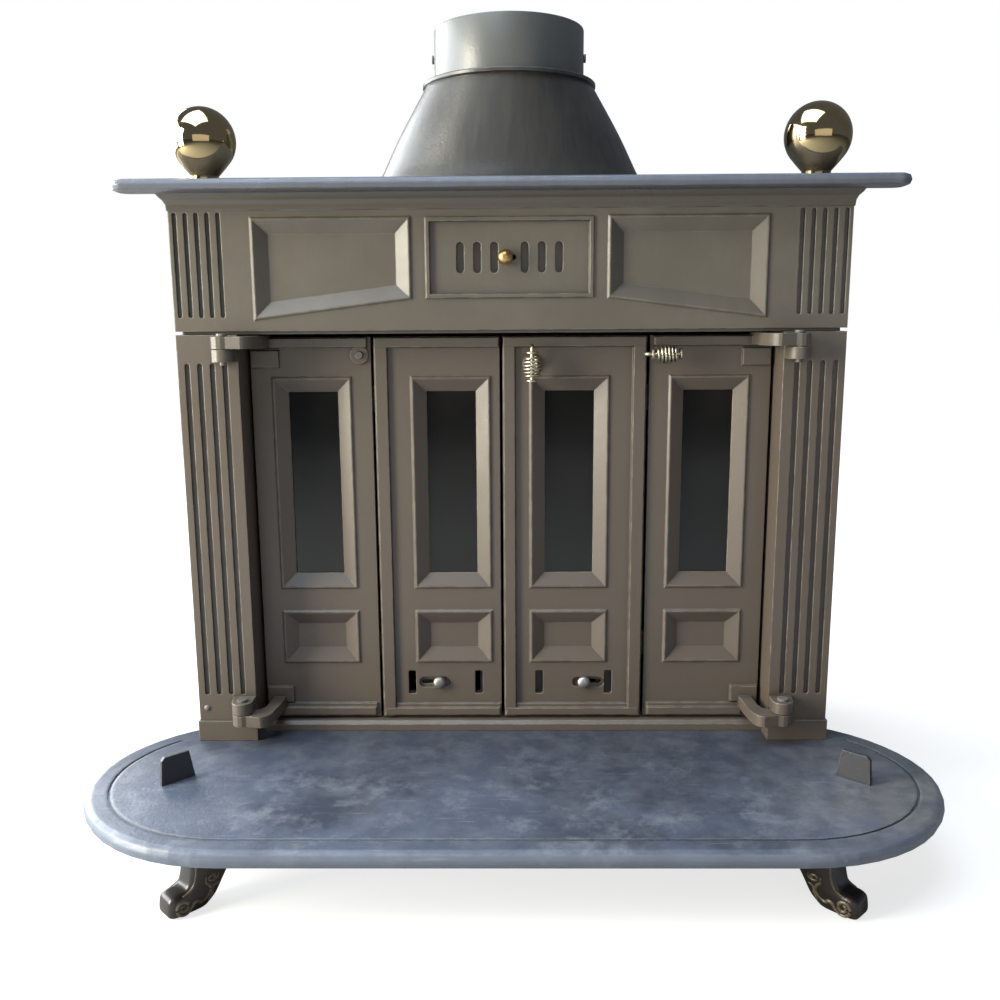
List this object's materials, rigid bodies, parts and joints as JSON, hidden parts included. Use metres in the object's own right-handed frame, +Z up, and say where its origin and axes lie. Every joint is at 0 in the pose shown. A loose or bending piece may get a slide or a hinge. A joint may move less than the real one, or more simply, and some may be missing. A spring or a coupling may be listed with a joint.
{
  "type": "open front cast iron stove",
  "caption": "Low cast iron stove with a half-oval ended hearth, fluted pilasters, folding glazed doors with latches, a vent grille, a mantel shelf with ball finials and an oval flue boot.",
  "frame": {"origin": "on the ground, below the middle of the bounding box", "axes": "+X to the right across the doors, +Y from the doors to the back, +Z up"},
  "size_m": [1, 0.678, 1.01],
  "materials": {
    "painted_iron": "aged satin stove paint, worn at the edges",
    "hearth_iron": "blackened, scuffed, satin",
    "dark_iron": "matte, sooted",
    "leg_iron": "glossy dark enamel paint with worn brass-coloured relief",
    "brass": "tarnished, polished",
    "nickel": "worn nickel plate",
    "steel": "worn bare steel",
    "glass": "smoke-tinted, clear polish"
  },
  "bodies": {
    "body": {"hearth_plate": "hearth_iron", "ash_tray": "dark_iron", "log_grate": "dark_iron", "threshold_bar": "painted_iron", "right_pilaster": "painted_iron", "left_pilaster": "painted_iron", "frieze": "painted_iron", "mantel_shelf": "painted_iron", "right_side_plate": "painted_iron", "left_side_plate": "painted_iron", "back_plate": "painted_iron", "fireback": "dark_iron", "smoke_baffle": "dark_iron", "flue_boot": "painted_iron", "flue_collar": "painted_iron", "right_ball_finial": "brass", "left_ball_finial": "brass", "right_front_leg": "leg_iron", "left_front_leg": "leg_iron", "right_rear_leg": "leg_iron", "left_rear_leg": "leg_iron", "right_hearth_lug": "hearth_iron", "left_hearth_lug": "hearth_iron", "right_upper_hinge_pin": "steel", "left_upper_hinge_pin": "steel", "right_lower_hinge_pin": "steel", "left_lower_hinge_pin": "steel"},
    "right_outer_door": {"right_outer_leaf": "painted_iron", "right_outer_glass": "glass", "right_outer_retainer": "dark_iron", "right_lower_fold_pin": "steel", "right_upper_fold_pin": "steel"},
    "left_outer_door": {"left_outer_leaf": "painted_iron", "left_outer_glass": "glass", "left_outer_retainer": "dark_iron", "left_lower_fold_pin": "steel", "left_upper_fold_pin": "steel"},
    "right_inner_door": {"right_inner_leaf": "painted_iron", "right_inner_glass": "glass", "right_inner_retainer": "dark_iron"},
    "left_inner_door": {"left_inner_leaf": "painted_iron", "left_inner_glass": "glass", "left_inner_retainer": "dark_iron"},
    "left_latch": {"left_latch_spindle": "steel", "left_latch_tongue": "dark_iron"},
    "right_latch": {"right_latch_handle": "nickel", "right_latch_coil": "nickel", "right_latch_tongue": "dark_iron"},
    "middle_latch": {"middle_latch_handle": "nickel", "middle_latch_coil": "nickel", "middle_latch_tongue": "dark_iron"},
    "right_draught": {"right_air_slide": "dark_iron", "right_air_slide_knob": "steel"},
    "left_draught": {"left_air_slide": "dark_iron", "left_air_slide_knob": "steel"},
    "grille_vent": {"grille_slide": "dark_iron", "grille_knob": "brass"},
    "damper": {"damper_plate": "dark_iron", "damper_spindle": "steel"}
  },
  "joints": [
    {"name": "right_outer_hinge", "type": "hinge", "parent": "body", "child": "right_outer_door", "pos_m": [0.3415, -0.078, 0.365], "axis": [0, 0, 1], "range_deg": [0, 140]},
    {"name": "left_outer_hinge", "type": "hinge", "parent": "body", "child": "left_outer_door", "pos_m": [-0.3415, -0.078, 0.365], "axis": [0, 0, -1], "range_deg": [0, 140]},
    {"name": "right_fold_hinge", "type": "hinge", "parent": "right_outer_door", "child": "right_inner_door", "pos_m": [0.17175, -0.0025, 0.365], "axis": [0, 0, -1], "range_deg": [0, 168]},
    {"name": "left_fold_hinge", "type": "hinge", "parent": "left_outer_door", "child": "left_inner_door", "pos_m": [-0.17175, -0.0025, 0.365], "axis": [0, 0, 1], "range_deg": [0, 168]},
    {"name": "right_latch_turn", "type": "hinge", "parent": "right_outer_door", "child": "right_latch", "pos_m": [0.1875, -0.019, 0.5915], "axis": [0, -1, 0], "range_deg": [0, 90]},
    {"name": "left_latch_turn", "type": "hinge", "parent": "left_outer_door", "child": "left_latch", "pos_m": [-0.1875, -0.019, 0.5915], "axis": [0, 1, 0], "range_deg": [0, 90]},
    {"name": "middle_latch_turn", "type": "hinge", "parent": "right_inner_door", "child": "middle_latch", "pos_m": [0.027, -0.019, 0.58], "axis": [0, 1, 0], "range_deg": [0, 90]},
    {"name": "grille_slide_travel", "type": "slide", "parent": "body", "child": "grille_vent", "axis": [1, 0, 0], "range_m": [0, 0.0095]},
    {"name": "right_air_travel", "type": "slide", "parent": "right_inner_door", "child": "right_draught", "axis": [1, 0, 0], "range_m": [0, 0.02]},
    {"name": "left_air_travel", "type": "slide", "parent": "left_inner_door", "child": "left_draught", "axis": [-1, 0, 0], "range_m": [0, 0.02]},
    {"name": "flue_damper", "type": "hinge", "parent": "body", "child": "damper", "pos_m": [0, 0.154, 0.9763], "axis": [1, 0, 0], "range_deg": [0, 90]}
  ]
}
